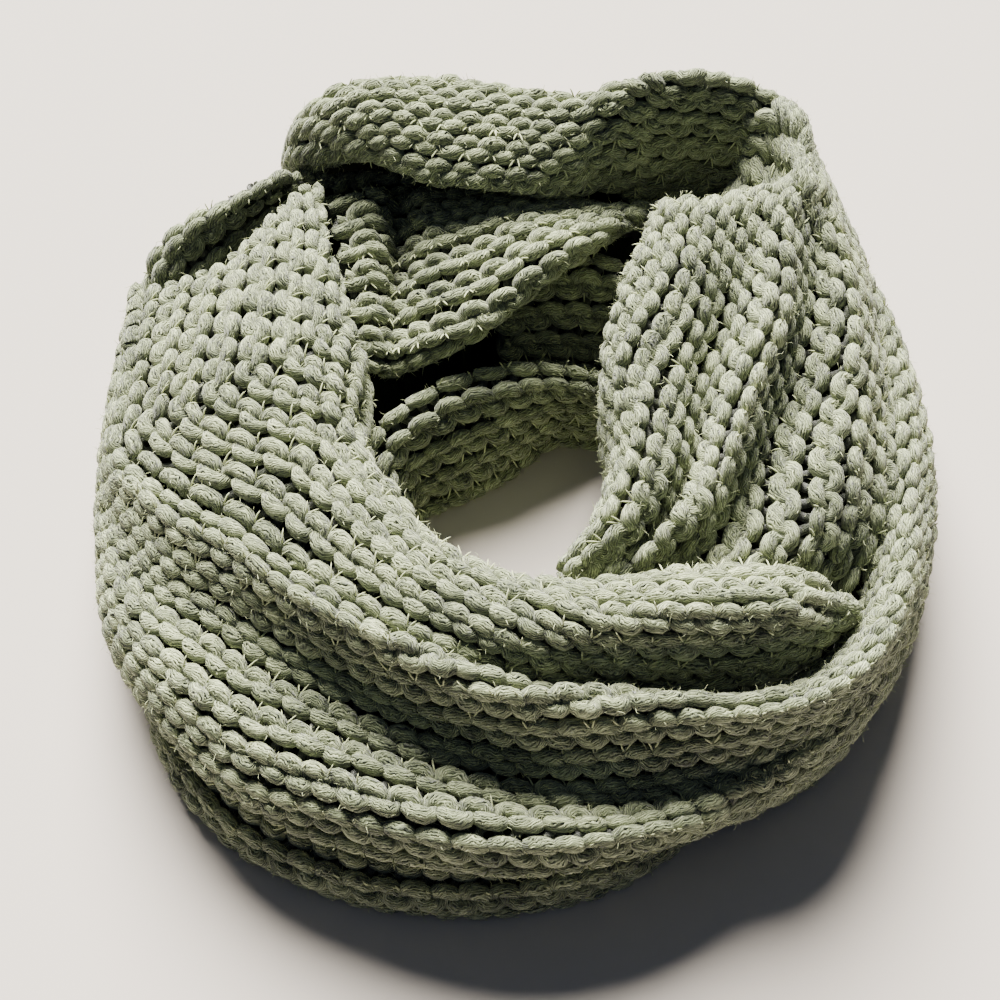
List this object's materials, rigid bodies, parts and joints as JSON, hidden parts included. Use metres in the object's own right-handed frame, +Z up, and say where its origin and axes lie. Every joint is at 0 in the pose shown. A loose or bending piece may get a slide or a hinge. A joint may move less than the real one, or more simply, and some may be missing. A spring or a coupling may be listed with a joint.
{
  "type": "infinity scarf",
  "caption": "Chunky knitted infinity scarf, a wide endless loop of sage yarn wound double and dropped in a soft coil round a small open centre.",
  "frame": {"origin": "on the resting plane, under the middle of the whole object's box", "axes": "+Z up, out of the resting plane; -Y towards the low front of the coil; +X towards the side where the tall fold stands"},
  "size_m": [0.3489, 0.353, 0.111],
  "materials": {
    "sage_knit": "matte wool knit with a soft fuzz",
    "shaded_knit": "matte wool knit"
  },
  "bodies": {
    "root": {"inner_front_stretch": "sage_knit", "outer_loop_stretch": "sage_knit", "right_stretch": "sage_knit", "back_roll_and_hood": "sage_knit", "rear_wall_stretch": "sage_knit", "crossing_stretch": "sage_knit", "inner_back_stretch": "sage_knit", "inner_left_stretch": "sage_knit", "lower_front_stretch": "sage_knit", "hidden_layers": "shaded_knit"}
  },
  "joints": []
}
